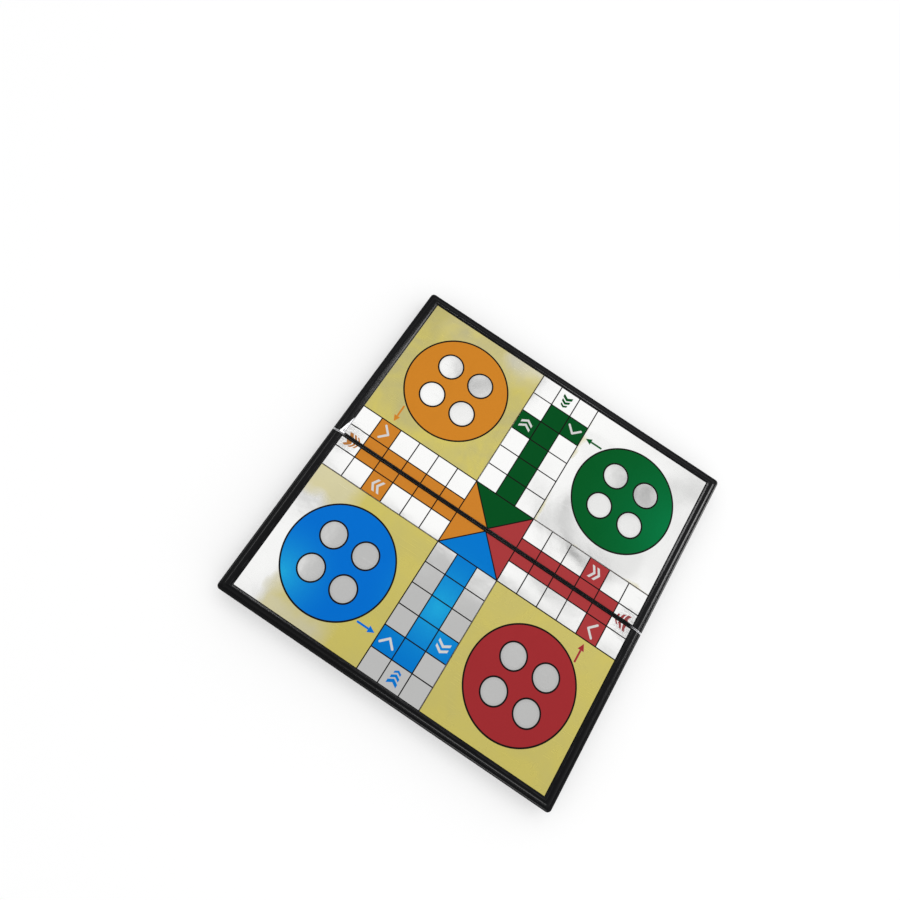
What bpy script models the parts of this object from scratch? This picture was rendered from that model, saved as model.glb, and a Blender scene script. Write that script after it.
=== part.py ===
"""Folding game board box, lying open and flat.

Two black moulded shells, hollow side down, are joined along the board's middle by two steel pins. Each shell carries a
steel sheet and a printed foil label in a shallow pocket in its top. The blue and red half folds down and under the
orange and green half, until the two hollows face each other and make the box that stores the game.

Metres, +Z up. X runs along the hinge and +Y towards the orange and green half. The origin is at the centre of the
open board's underside.
"""

import math

import bmesh
import bpy
from mathutils import Matrix, Vector

# The open board
BOARD_LENGTH = 0.250
HALF_WIDTH = 0.125
HALF_HEIGHT = 0.017
HINGE_SPLIT = 0.0004

# Outer shell, from the outside in
CORNER_RADIUS = 0.0028
SHOULDER_WIDTH = 0.0023
SHOULDER_DROP = 0.0016
SHOULDER_ROUND = 0.0018
FLANGE_DEPTH = 0.0044
FLANGE_OVERHANG = 0.0020
BAND_ROUND = 0.0026
BAND_TOP_CORNER = 0.0002
WALL = 0.0026
SPINE_WALL = 0.0016
PLATE = 0.0018
HOLLOW_CORNER = 0.0015
HOLLOW_ROUND = 0.0010

# Pocket, steel sheet and foil label
LABEL_TO_SIDE = 0.00825
LABEL_TO_FAR_EDGE = 0.0072
LABEL_TO_HINGE = 0.00155
LABEL_RECESS = 0.0006
LABEL_THICKNESS = 0.0002
STEEL_THICKNESS = 0.0004
STEEL_INSET = 0.0003
GLUE_FILM = 0.0001
POCKET_CLEARANCE = 0.0003
POCKET_CHAMFER = 0.0013
POCKET_CHAMFER_DEPTH = 0.0004

# Hinge
PIN_RADIUS = 0.0010
PIN_INSET = 0.0005
PIN_STOP = 0.0012
PIN_END_GAP = 0.0003
BORE_CLEARANCE = 0.00008
KNUCKLE_RADIUS = 0.0020
KNUCKLE_LENGTH = 0.0075
KNUCKLE_SIDE_GAP = 0.0003
KNUCKLE_RUN_GAP = 0.0003
KNUCKLE_FLOOR_GAP = 0.0002

# Lip, skirt and snap that hold the box shut
MATE_GAP = 0.0003
LIP_CLEARANCE = 0.0003
LIP_TO_HINGE = 0.0004
SNAP_FROM_MIDDLE = 0.060
RIDGE_LENGTH = 0.012
RIDGE_RADIUS = 0.0006
RIDGE_TO_LIP_EDGE = 0.0008
WINDOW_CLEARANCE = 0.0003
SLIT_WIDTH = 0.0010
SLIT_TO_RIDGE = 0.0015
SLIT_HEIGHT = 0.0038

# How far a cutter runs past the face that it cuts, and how far joined shapes sink into each other
OVERRUN = 0.0010

CORNER_SEGMENTS = 6
ROUND_SEGMENTS = 5
CIRCLE_SEGMENTS = 24
SHARP_ANGLE = math.radians(34)

# Heights, from the top down
BAND_TOP = HALF_HEIGHT
BAND_FOOT = BAND_TOP - BAND_ROUND - OVERRUN
SHOULDER_TOP = BAND_TOP - SHOULDER_DROP
FLANGE_BOTTOM = SHOULDER_TOP - FLANGE_DEPTH
LABEL_TOP = BAND_TOP - LABEL_RECESS
LABEL_BOTTOM = LABEL_TOP - LABEL_THICKNESS
STEEL_TOP = LABEL_BOTTOM - GLUE_FILM
STEEL_BOTTOM = STEEL_TOP - STEEL_THICKNESS
POCKET_FLOOR = STEEL_BOTTOM - GLUE_FILM
CEILING = POCKET_FLOOR - PLATE
AXIS_HEIGHT = KNUCKLE_RADIUS + KNUCKLE_FLOOR_GAP
SPINE_BOTTOM = AXIS_HEIGHT + MATE_GAP / 2
LIP_ROOT = 2 * AXIS_HEIGHT + MATE_GAP

# Distances from the board's middle, along the hinge
RIM_X = BOARD_LENGTH / 2
BAND_X = RIM_X - SHOULDER_WIDTH
BODY_X = RIM_X - FLANGE_OVERHANG
HOLLOW_X = BODY_X - WALL
LIP_THICKNESS = (WALL - LIP_CLEARANCE) / 2
LIP_X = HOLLOW_X + LIP_THICKNESS
SKIRT_X = LIP_X + LIP_CLEARANCE
LABEL_X = RIM_X - LABEL_TO_SIDE

# Distances from the hinge line, across one half
RIM_Y = HALF_WIDTH
BAND_Y = RIM_Y - SHOULDER_WIDTH
BODY_Y = RIM_Y - FLANGE_OVERHANG
HOLLOW_Y = BODY_Y - WALL
LIP_Y = HOLLOW_Y + LIP_THICKNESS
SKIRT_Y = LIP_Y + LIP_CLEARANCE
SPINE_FACE = HINGE_SPLIT / 2
SPINE_INNER = SPINE_FACE + SPINE_WALL
LIP_START = KNUCKLE_RADIUS + KNUCKLE_RUN_GAP + LIP_TO_HINGE
LABEL_NEAR_Y = LABEL_TO_HINGE
LABEL_FAR_Y = RIM_Y - LABEL_TO_FAR_EDGE

# Knuckles of one hinge, from the end wall inwards: two on the green half, one of the red half between them
KNUCKLE_STEP = KNUCKLE_LENGTH + KNUCKLE_SIDE_GAP
OUTER_KNUCKLE = (BODY_X - KNUCKLE_LENGTH, BODY_X)
MIDDLE_KNUCKLE = tuple(x - KNUCKLE_STEP for x in OUTER_KNUCKLE)
INNER_KNUCKLE = tuple(x - KNUCKLE_STEP for x in MIDDLE_KNUCKLE)
BORE_RADIUS = PIN_RADIUS + BORE_CLEARANCE
BORE_END = INNER_KNUCKLE[0] + PIN_STOP
PIN_STATION = (BORE_END + PIN_END_GAP, BODY_X - PIN_INSET)

GREEN_SIDE = 1
RED_SIDE = -1


def clear_scene():
    for obj in list(bpy.data.objects):
        bpy.data.objects.remove(obj, do_unlink=True)


def new_collection(name):
    collection = bpy.data.collections.new(name)
    bpy.context.scene.collection.children.link(collection)
    return collection


def plain_material(name, colour, roughness, metallic):
    material = bpy.data.materials.new(name)
    material.use_nodes = True
    shader = material.node_tree.nodes["Principled BSDF"]
    shader.inputs["Base Color"].default_value = (*colour, 1)
    shader.inputs["Roughness"].default_value = roughness
    shader.inputs["Metallic"].default_value = metallic
    material.diffuse_color = (*colour, 1)
    return material


def black_plastic(name):
    return plain_material(name, (0.012, 0.012, 0.013), 0.32, 0)


def sheet_steel(name):
    return plain_material(name, (0.56, 0.57, 0.58), 0.38, 1)


def pin_steel(name):
    return plain_material(name, (0.66, 0.66, 0.67), 0.25, 1)


def printed_foil(name):
    return plain_material(name, (0.80, 0.80, 0.78), 0.22, 1)


def mirrored(point, side):
    """The same point on the half that lies on this side of the hinge."""
    return Vector((point[0], point[1] * side, point[2]))


def box_into(bm, low, high, side):
    """Adds a box between two corners, given as on the green half, and returns its vertices."""
    start = mirrored(low, side)
    end = mirrored(high, side)
    size = Vector([abs(b - a) for a, b in zip(start, end)])
    place = Matrix.Translation((start + end) / 2) @ Matrix.Diagonal((*size, 1))
    return bmesh.ops.create_cube(bm, size=1, matrix=place)["verts"]


def object_from(bm, name, collection, origin):
    """Makes an object whose origin is at the given point, with its faces shaded smooth between sharp edges."""
    bmesh.ops.recalc_face_normals(bm, faces=bm.faces)
    mesh = bpy.data.meshes.new(name)
    bm.to_mesh(mesh)
    bm.free()
    mesh.transform(Matrix.Translation(-origin))
    mesh.shade_smooth()
    mesh.set_sharp_from_angle(angle=SHARP_ANGLE)
    obj = bpy.data.objects.new(name, mesh)
    obj.location = origin
    collection.objects.link(obj)
    return obj


def is_upright(edge):
    start, end = (vert.co for vert in edge.verts)
    return abs(start.x - end.x) + abs(start.y - end.y) < abs(start.z - end.z)


def slab_mesh(side, half_length, near, far, bottom, top, corner, edge_round):
    """A slab on one side of the hinge, with round outer corners and a rounded top edge on its three outer sides."""
    bm = bmesh.new()
    box_into(bm, (-half_length, near, bottom), (half_length, far, top), side)
    middle = side * (near + far) / 2
    if corner > 0:
        uprights = [e for e in bm.edges if is_upright(e) and side * (e.verts[0].co.y - middle) > 0]
        bmesh.ops.bevel(bm, geom=uprights, offset=corner, segments=CORNER_SEGMENTS, profile=0.5, affect="EDGES")
    if edge_round > 0:
        level = (bottom + top) / 2
        rims = [e for e in bm.edges if all(v.co.z > level for v in e.verts)]
        rims = [e for e in rims if any(side * (v.co.y - middle) > 0 for v in e.verts)]
        bmesh.ops.bevel(bm, geom=rims, offset=edge_round, segments=ROUND_SEGMENTS, profile=0.5, affect="EDGES")
    return bm


def rod_mesh(start, end, radius, centre_y, centre_z):
    """A round rod along X between two stations."""
    bm = bmesh.new()
    turn = Matrix.Rotation(math.radians(90), 4, "Y")
    place = Matrix.Translation(((start + end) / 2, centre_y, centre_z))
    bmesh.ops.create_cone(
        bm,
        cap_ends=True,
        segments=CIRCLE_SEGMENTS,
        radius1=radius,
        radius2=radius,
        depth=abs(end - start),
        matrix=place @ turn,
    )
    return bm


class Shell:
    """A piece that further shapes are joined to or cut from, in order."""

    def __init__(self, bm, name, material, parts, tools):
        self.origin = Vector((0, 0, AXIS_HEIGHT))
        self.tools = tools
        self.obj = object_from(bm, name, parts, self.origin)
        self.obj.data.materials.append(material)

    def apply(self, bm, what, operation):
        tool = object_from(bm, f"{self.obj.name}.{what}", self.tools, self.origin)
        tool.parent = self.obj
        tool.location = (0, 0, 0)
        tool.hide_render = True
        tool.display_type = "WIRE"
        modifier = self.obj.modifiers.new(what, "BOOLEAN")
        modifier.operation = operation
        modifier.solver = "EXACT"
        modifier.object = tool

    def join(self, bm, what):
        self.apply(bm, what, "UNION")

    def cut(self, bm, what):
        self.apply(bm, what, "DIFFERENCE")


def box_mesh(low, high, side):
    bm = bmesh.new()
    box_into(bm, low, high, side)
    return bm


def pocket_mesh(side):
    """The pocket for the sheet and the label, flared at its outer edges."""
    near = LABEL_NEAR_Y - POCKET_CLEARANCE
    far = LABEL_FAR_Y + POCKET_CLEARANCE
    half_length = LABEL_X + POCKET_CLEARANCE
    return box_mesh((-half_length, near, POCKET_FLOOR), (half_length, far, BAND_TOP + OVERRUN), side)


def pocket_chamfer_mesh(side):
    """The chamfer round the pocket's three outer edges, cut by a slab whose top is wider than its foot."""
    bm = bmesh.new()
    near = LABEL_NEAR_Y - POCKET_CLEARANCE
    far = LABEL_FAR_Y + POCKET_CLEARANCE
    half_length = LABEL_X + POCKET_CLEARANCE
    foot = BAND_TOP - POCKET_CHAMFER_DEPTH
    verts = box_into(bm, (-half_length, near, foot), (half_length, far, BAND_TOP + POCKET_CHAMFER_DEPTH), side)
    flare = 2 * POCKET_CHAMFER
    for vert in verts:
        if vert.co.z > BAND_TOP:
            vert.co.x += flare if vert.co.x > 0 else -flare
            if side * vert.co.y > (near + far) / 2:
                vert.co.y += side * flare
    return bm


def hollow_mesh(side):
    return slab_mesh(
        side, HOLLOW_X, SPINE_INNER, HOLLOW_Y, -OVERRUN, CEILING, HOLLOW_CORNER, HOLLOW_ROUND
    )


def moulded_shell(name, side, parts, tools):
    """The outside of one half: flange, raised band and walls, with its hollow and its pocket."""
    start = SPINE_FACE - OVERRUN
    flange = slab_mesh(side, RIM_X, start, RIM_Y, FLANGE_BOTTOM, SHOULDER_TOP, CORNER_RADIUS, SHOULDER_ROUND)
    shell = Shell(flange, name, black_plastic(name + "_plastic"), parts, tools)
    walls_bottom = 0 if side == GREEN_SIDE else LIP_ROOT
    walls = slab_mesh(side, BODY_X, start, BODY_Y, walls_bottom, FLANGE_BOTTOM + OVERRUN, CORNER_RADIUS, 0)
    shell.join(walls, "walls")
    band_corner = BAND_ROUND + BAND_TOP_CORNER
    band = slab_mesh(side, BAND_X, start, BAND_Y, BAND_FOOT, BAND_TOP, band_corner, BAND_ROUND)
    shell.join(band, "band")
    return shell


def face_the_hinge(shell, side):
    """Cuts the half off flat at the hinge line."""
    low = (-RIM_X - OVERRUN, -RIM_Y, -OVERRUN)
    high = (RIM_X + OVERRUN, SPINE_FACE, BAND_TOP + OVERRUN)
    shell.cut(box_mesh(low, high, side), "hinge_face")


def station(end, span):
    """A stretch of the hinge line at this end of the board, from its lower to its higher X."""
    return sorted(end * x for x in span)


def notch_for(shell, span, what):
    """Clears a run for the other half's knuckle, at both ends of the board."""
    for end in (-1, 1):
        start, stop = station(end, span)
        rod = rod_mesh(
            start - KNUCKLE_SIDE_GAP,
            stop + KNUCKLE_SIDE_GAP,
            KNUCKLE_RADIUS + KNUCKLE_RUN_GAP,
            0,
            AXIS_HEIGHT,
        )
        shell.cut(rod, f"{what}_{end}")


def knuckle_on(shell, span, what):
    for end in (-1, 1):
        start, stop = station(end, span)
        shell.join(rod_mesh(start, stop, KNUCKLE_RADIUS, 0, AXIS_HEIGHT), f"{what}_{end}")


def bore_hinges(shell, span):
    """Drills the knuckles for their pin at both ends of the board."""
    for end in (-1, 1):
        start, stop = station(end, span)
        shell.cut(rod_mesh(start, stop, BORE_RADIUS, 0, AXIS_HEIGHT), f"bore_{end}")


def green_shell(parts, tools):
    """The orange and green half, which has the skirt that closes round the other half's lip."""
    side = GREEN_SIDE
    shell = moulded_shell("shell_orange_green", side, parts, tools)
    shell.cut(hollow_mesh(side), "hollow")
    shell.cut(pocket_mesh(side), "pocket")
    shell.cut(pocket_chamfer_mesh(side), "pocket_chamfer")
    rebate = slab_mesh(side, SKIRT_X, LIP_START - LIP_TO_HINGE, SKIRT_Y, -OVERRUN, LIP_ROOT, HOLLOW_CORNER, 0)
    shell.cut(rebate, "rebate")
    face_the_hinge(shell, side)
    under_spine = box_mesh((-SKIRT_X, -OVERRUN, -OVERRUN), (SKIRT_X, LIP_START, SPINE_BOTTOM), side)
    shell.cut(under_spine, "under_spine")
    notch_for(shell, MIDDLE_KNUCKLE, "middle_notch")
    knuckle_on(shell, OUTER_KNUCKLE, "outer_knuckle")
    knuckle_on(shell, INNER_KNUCKLE, "inner_knuckle")
    bore_hinges(shell, (BORE_END, BODY_X + OVERRUN))
    for end in (-1, 1):
        shell.cut(snap_window_mesh(end), f"snap_window_{end}")
    return shell


def snap_window_mesh(end):
    """The slot in the skirt that the other half's ridge clicks into."""
    centre_x = end * SNAP_FROM_MIDDLE
    half_length = RIDGE_LENGTH / 2 + WINDOW_CLEARANCE
    half_height = RIDGE_RADIUS + WINDOW_CLEARANCE
    centre_z = 2 * AXIS_HEIGHT - RIDGE_TO_LIP_EDGE - RIDGE_RADIUS
    low = (centre_x - half_length, SKIRT_Y - LIP_CLEARANCE, centre_z - half_height)
    high = (centre_x + half_length, BODY_Y + OVERRUN, centre_z + half_height)
    return box_mesh(low, high, GREEN_SIDE)


def red_shell(parts, tools):
    """The blue and red half, whose lip slides inside the other half's skirt."""
    side = RED_SIDE
    shell = moulded_shell("shell_blue_red", side, parts, tools)
    lip = slab_mesh(side, LIP_X, LIP_START, LIP_Y, 0, LIP_ROOT + OVERRUN, HOLLOW_CORNER, 0)
    shell.join(lip, "lip")
    spine_foot = box_mesh(
        (-LIP_X, SPINE_FACE - OVERRUN, SPINE_BOTTOM), (LIP_X, LIP_START + OVERRUN, LIP_ROOT + OVERRUN), side
    )
    shell.join(spine_foot, "spine_foot")
    shell.cut(hollow_mesh(side), "hollow")
    shell.cut(pocket_mesh(side), "pocket")
    shell.cut(pocket_chamfer_mesh(side), "pocket_chamfer")
    face_the_hinge(shell, side)
    notch_for(shell, OUTER_KNUCKLE, "outer_notch")
    notch_for(shell, INNER_KNUCKLE, "inner_notch")
    knuckle_on(shell, MIDDLE_KNUCKLE, "middle_knuckle")
    bore_hinges(shell, (MIDDLE_KNUCKLE[0] - KNUCKLE_SIDE_GAP, MIDDLE_KNUCKLE[1] + KNUCKLE_SIDE_GAP))
    for end in (-1, 1):
        add_snap(shell, end)
    return shell


def add_snap(shell, end):
    """Frees a tongue in the lip with two slits, and puts the ridge on its outer face."""
    centre_x = end * SNAP_FROM_MIDDLE
    for slit_side in (-1, 1):
        slit_x = centre_x + slit_side * (RIDGE_LENGTH / 2 + SLIT_TO_RIDGE + SLIT_WIDTH / 2)
        low = (slit_x - SLIT_WIDTH / 2, HOLLOW_Y - OVERRUN, -OVERRUN)
        high = (slit_x + SLIT_WIDTH / 2, LIP_Y + OVERRUN, SLIT_HEIGHT)
        shell.cut(box_mesh(low, high, RED_SIDE), f"slit_{end}_{slit_side}")
    ridge = rod_mesh(
        centre_x - RIDGE_LENGTH / 2,
        centre_x + RIDGE_LENGTH / 2,
        RIDGE_RADIUS,
        RED_SIDE * LIP_Y,
        RIDGE_TO_LIP_EDGE + RIDGE_RADIUS,
    )
    shell.join(ridge, f"ridge_{end}")


def steel_sheet(name, side, parts):
    """The sheet that the game's magnets hold to."""
    low = (-LABEL_X + STEEL_INSET, LABEL_NEAR_Y + STEEL_INSET, STEEL_BOTTOM)
    high = (LABEL_X - STEEL_INSET, LABEL_FAR_Y - STEEL_INSET, STEEL_TOP)
    origin = Vector((0, side * (LABEL_NEAR_Y + LABEL_FAR_Y) / 2, STEEL_BOTTOM))
    sheet = object_from(box_mesh(low, high, side), name, parts, origin)
    sheet.data.materials.append(sheet_steel(name + "_steel"))
    return sheet


def foil_label(name, side, parts):
    """The printed playing surface of one half."""
    low = (-LABEL_X, LABEL_NEAR_Y, LABEL_BOTTOM)
    high = (LABEL_X, LABEL_FAR_Y, LABEL_TOP)
    origin = Vector((0, side * (LABEL_NEAR_Y + LABEL_FAR_Y) / 2, LABEL_BOTTOM))
    label = object_from(box_mesh(low, high, side), name, parts, origin)
    label.data.materials.append(printed_foil(name + "_foil"))
    return label


def hinge_pin(name, end, parts):
    """A steel pin pressed into the outer and inner knuckles, on which the middle one turns."""
    start, stop = station(end, PIN_STATION)
    origin = Vector(((start + stop) / 2, 0, AXIS_HEIGHT))
    pin = object_from(rod_mesh(start, stop, PIN_RADIUS, 0, AXIS_HEIGHT), name, parts, origin)
    pin.data.materials.append(pin_steel(name + "_steel"))
    return pin


def hang_on(parent, children):
    """Parents pieces to an empty that stands unturned, leaving them where they are."""
    for child in children:
        child.parent = parent
        child.matrix_parent_inverse = Matrix.Translation(-parent.location)


def fold_axis(parts):
    axis = bpy.data.objects.new("fold_axis", None)
    axis.location = (0, 0, AXIS_HEIGHT)
    axis.empty_display_size = RIM_X
    parts.objects.link(axis)
    return axis


def main():
    clear_scene()
    parts = new_collection("folding_board_box")
    tools = new_collection("cutters")
    green_shell(parts, tools)
    steel_sheet("steel_sheet_orange_green", GREEN_SIDE, parts)
    foil_label("label_orange_green", GREEN_SIDE, parts)
    for end, name in ((-1, "hinge_pin_left"), (1, "hinge_pin_right")):
        hinge_pin(name, end, parts)
    folding = [
        red_shell(parts, tools).obj,
        steel_sheet("steel_sheet_blue_red", RED_SIDE, parts),
        foil_label("label_blue_red", RED_SIDE, parts),
    ]
    hang_on(fold_axis(parts), folding)


main()
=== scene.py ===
"""Looks of the folding game board box: moulded plastic, printed foil, pins, floor, light and camera.

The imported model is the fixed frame. Everything is in metres, with X along the hinge and +Y towards the orange
and green half. The print is laid out in cells of the board's grid, fifteen by fifteen, around its centre.
"""

import math
import random
from functools import reduce

import bmesh
import bpy
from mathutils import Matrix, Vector


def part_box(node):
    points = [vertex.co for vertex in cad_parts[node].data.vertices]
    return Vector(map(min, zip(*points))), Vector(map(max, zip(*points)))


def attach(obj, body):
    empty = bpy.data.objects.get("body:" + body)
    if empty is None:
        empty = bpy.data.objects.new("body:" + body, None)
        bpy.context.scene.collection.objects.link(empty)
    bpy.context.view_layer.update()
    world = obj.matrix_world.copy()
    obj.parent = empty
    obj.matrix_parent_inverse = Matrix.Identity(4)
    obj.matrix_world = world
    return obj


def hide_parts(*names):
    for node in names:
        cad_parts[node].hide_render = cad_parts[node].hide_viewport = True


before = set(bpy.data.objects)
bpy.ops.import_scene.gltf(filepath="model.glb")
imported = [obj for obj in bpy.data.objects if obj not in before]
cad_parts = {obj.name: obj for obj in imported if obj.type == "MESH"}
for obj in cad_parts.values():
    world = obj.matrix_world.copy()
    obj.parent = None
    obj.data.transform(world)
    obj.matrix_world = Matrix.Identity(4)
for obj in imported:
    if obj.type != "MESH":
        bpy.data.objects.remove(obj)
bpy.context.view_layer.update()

# The two halves: node endings, bodies and sides of the hinge
HALVES = (("orange_green", "fixed_half", 1), ("blue_red", "folding_half", -1))

# Shell edges: which are softened, and where the rim's long faces are cut across
EDGE_SOFTNESS = 0.00018
EDGE_LEAST = 0.0020
EDGE_ANGLE = math.radians(40)
CREST_ANGLE = math.radians(17.1)
CREST_MARGIN = math.radians(0.5)
CREST_LEAST = 0.1
CORNER_CUT = 0.1166
HINGE_CUT = 0.0012
SMOOTH_ANGLE = math.radians(34)
FLAT_ANGLE = math.radians(1)
BEVEL_SEGMENTS = 2
BEVEL_PROFILE = 0.5
WELD = 0.000002

# Foil
FOIL_STEP = 0.002
FOIL_WAVE = 0.00016
FOIL_EDGE_FADE = 0.020
FOIL_WAVES = 7
FOIL_WAVE_LENGTHS = (0.030, 0.085)
FOIL_SEED = 11
FOIL_INSET = 0.0004

# The loose strip of foil at the orange corner's hinge end: the outer and inner point of each row, with their
# heights over the label's top
LOOSE_STRIP = (
    ((-0.11738, 0.01300, 0.00034), (-0.11730, 0.01290, 0.00032)),
    ((-0.11772, 0.01050, 0.00045), (-0.11732, 0.01040, 0.00035)),
    ((-0.11814, 0.00720, 0.00055), (-0.11732, 0.00700, 0.00036)),
    ((-0.11830, 0.00420, 0.00058), (-0.11728, 0.00400, 0.00038)),
    ((-0.11830, 0.00200, 0.00058), (-0.11712, 0.00190, 0.00044)),
    ((-0.11830, 0.00042, 0.00058), (-0.11660, 0.00050, 0.00054)),
)
STRIP_THICKNESS = 0.00002
STRIP_STEPS = 3
STRIP_CURL = 0.00006
LABEL_EDGE = -0.11685
LABEL_EDGE_SOFTNESS = 0.0001

# The folds in the film at the ends of the hinge line
CREASE_PLACE = (0.1150, 0.0040)
CREASE_REACH = 0.014
CREASE_NARROWING = 1.6
CREASE_STRETCH = (260, 620, 1)
CREASE_TURN = 0.5

# The light lines painted on the edges at the ends of the hinge line: painted highlights along the gap there.
# They and the stuck film are seen only over the lowest height, which is followed by its softness.
HINGE_LIGHT_WIDTH = 0.00050
HINGE_LIGHT_SOFTNESS = 0.0001
HINGE_LIGHT_LEAST = 0.00022
HINGE_LIGHT_LEAST_SOFTNESS = 0.00002
HINGE_LIGHT_START = 0.1185
HINGE_LIGHT_FADE = 0.008
LIGHT_LINE_AND_FILM_LOWEST = (0.0125, 0.001)

# The film stuck on the rim beside the loose strip: its corners in plan, and the bare glue at the hinge line
STUCK_FILM = ((-0.11690, 0.01380), (-0.11935, 0.00320))
STUCK_FILM_LEAST_X = -0.11985
STUCK_FILM_SOFTNESS = 0.00012
FILM_LEAST_Y = 0.00045
GLUE_PATCH = (-0.11990, -0.11630, FILM_LEAST_Y, 0.00150)

# Ejector marks in the hollows
MARK_RADIUS = 0.003
MARK_HEIGHT = 0.00012
MARK_CORNERS = 32
HOLLOW_CEILING = 0.0138
MARKS_ALONG = 5
MARKS_ACROSS = 3
MARK_MARGIN = 0.022

# The print, in cells
CELL = 0.015567
PRINT_TO_HINGE = 0.0675
PATH_END = 1.5
HOME_CENTRE = 4.5
HOME_RADIUS = 2.385
SPOT_OFFSET = 0.8
SPOT_RADIUS = 0.578
OUTLINE = 0.073
GRID_LINE = 0.053
PRINT_EDGE = 0.008

# Camera, as fitted to the printed grid
PHOTO_SIZE = 900
FOCAL_PIXELS = 787.7
CENTRE_PIXEL = (471.7, 380.5)
CAMERA_PLACE = (-0.04625, -0.11372, 0.52610)
CAMERA_TURN = (18.327, -9.686, 32.348)
SENSOR = 36
CLIP_START = 0.01


def linear(red, green, blue):
    """A colour written as it looks on a screen, from 0 to 255, as light."""
    shares = (value / 255 for value in (red, green, blue))
    return tuple(s / 12.92 if s <= 0.04045 else ((s + 0.055) / 1.055) ** 2.4 for s in shares)


BLACK_PLASTIC = linear(6, 6, 7)
WORN_PLASTIC = linear(44, 44, 46)
# Painted highlight: the light grey laid on the edges at the ends of the hinge line
PAINTED_HINGE_LIGHT = linear(205, 205, 207)
FOIL = linear(236, 236, 235)
CLOUDED_FOIL = linear(205, 205, 203)
# Painted shade: the grey ring inside each bare spot's edge
PAINTED_SPOT_SHADE = linear(150, 150, 150)
YELLOW_TINT = linear(207, 194, 104)
DULL_YELLOW = linear(186, 178, 124)
LINE_INK = linear(20, 18, 18)
PALE_INK = linear(210, 210, 208)
HOME_INKS = {
    "orange": linear(206, 130, 38),
    "green": linear(1, 87, 34),
    "red": linear(160, 45, 49),
    "blue": linear(1, 111, 208),
}
PATH_INKS = {
    "orange": linear(204, 128, 42),
    "green": linear(1, 78, 30),
    "red": linear(168, 57, 59),
    "blue": linear(1, 118, 204),
}
# Painted sheen: the lighter blue and green that stand for light reflected in those inks
SHEEN_BLUE = linear(30, 168, 222)
SHEEN_GREEN = linear(3, 124, 70)
# Painted shade: the grey laid along the folds in the film
FOLD_SHADE_GREY = linear(96, 94, 94)
STRIP_GREY = linear(206, 206, 208)
PIN_STEEL = linear(190, 190, 192)
DULL_PIN_STEEL = linear(150, 148, 146)
SHEET_STEEL = linear(176, 177, 180)
DULL_SHEET_STEEL = linear(140, 142, 146)

# Noise textures: scale, detail, roughness and distortion
NOISES = {
    "plastic_wear": (160, 3),
    "pin_rings": (900, 2),
    "sheet_streaks": (1, 4, 0.7),
    "foil_cloud": (45, 3, 0.6),
    "foil_ripple": (90, 2, 0.4),
    "folds": (1, 3, 0.55, 0.8),
    "ink_sparkle": (1900, 2, 0.7),
    "yellow_mottle": (34, 3, 0.55, 0.6),
    "yellow_border": (60, 2, 0.5),
    "studio_cloud": (26.0, 3),
}
SMUDGE_NOISE = {"detail": 4, "roughness": 0.6, "distortion": 0.4}
GRAIN_NOISE = {"detail": 3, "roughness": 0.65}

# Handling marks: the turn and stretch of each set of hairs, and the steps that cut marks out of noise
HAIR_SETS = ((0.35, 34), (1.25, 47), (2.2, 29))
HAIR_STEP = (0.004, 0.006)
HAIR_PATCH_SCALE = 38
HAIR_PATCH_STEP = (0.6, 0.06)
SMUDGE_STEP = (0.52, 0.35)
WEAR_STEP = (0.52, 0.2)
WEAR_SHARE = 0.35

# Surfaces: roughness with what marks and inks add to it, sheen, and the depths of bumps
PLASTIC_ROUGHNESS = 0.17
PLASTIC_SCRATCH_ROUGHNESS = 0.12
PLASTIC_WEAR_ROUGHNESS = 0.15
PLASTIC_SPECULAR = 0.09
PLASTIC_GRAIN_DEPTH = 0.000003
FOIL_ROUGHNESS = 0.07
FOIL_SCRATCH_ROUGHNESS = 0.2
INK_ROUGHNESS = 0.24
FOIL_SPECULAR = 0.04
FOIL_RIPPLE_DEPTH = 0.00004
FOIL_GRAIN_DEPTH = 0.0000005
FOLD_DEPTH = 0.00030
INK_DEPTH = 0.000006
PIN_RINGS = 9000
PIN_RING_SHARE = 0.25
PIN_ROUGHNESS = 0.2
PIN_DEPTH = 0.000008
SHEET_STRETCH = (20, 900, 900)
SHEET_ROUGHNESS = 0.25
SHEET_DEPTH = 0.00001

# Inks: how much they cover the metal, where the blue and green are lightened by a grainy painted sheen, and
# where the yellow is mottled; the painted shade ring inside the bare spots; the foil's clouding; and the
# painted shade that folds in the film lay over the foil and inks
INK_COVER = 0.85
TINT_COVER = 0.7
SHEEN_PLACES = (((0.0, -3.8), 3.2), ((-6.2, -6.1), 2.6), ((7.6, 4.5), 6.0))
SPARKLE_SHARE = 0.8
SPARKLE_LEAST = 0.6
MOTTLE_STEP = (0.54, 0.26)
MOTTLE_ON_ORANGE = 0.55
MOTTLE_LEAST = 0.25
# Painted shade: the width of the grey ring inside each bare spot, and how much it greys the foil
SPOT_RIM = 0.11
SPOT_RIM_SHARE = 0.15
FOIL_CLOUD_SHARE = 0.10
FOLD_STEP = (0.012, 0.02)
FOLD_SHADE_SHARE = 0.8
FOLDED_INK_SHADE_SHARE = 0.45


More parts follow.
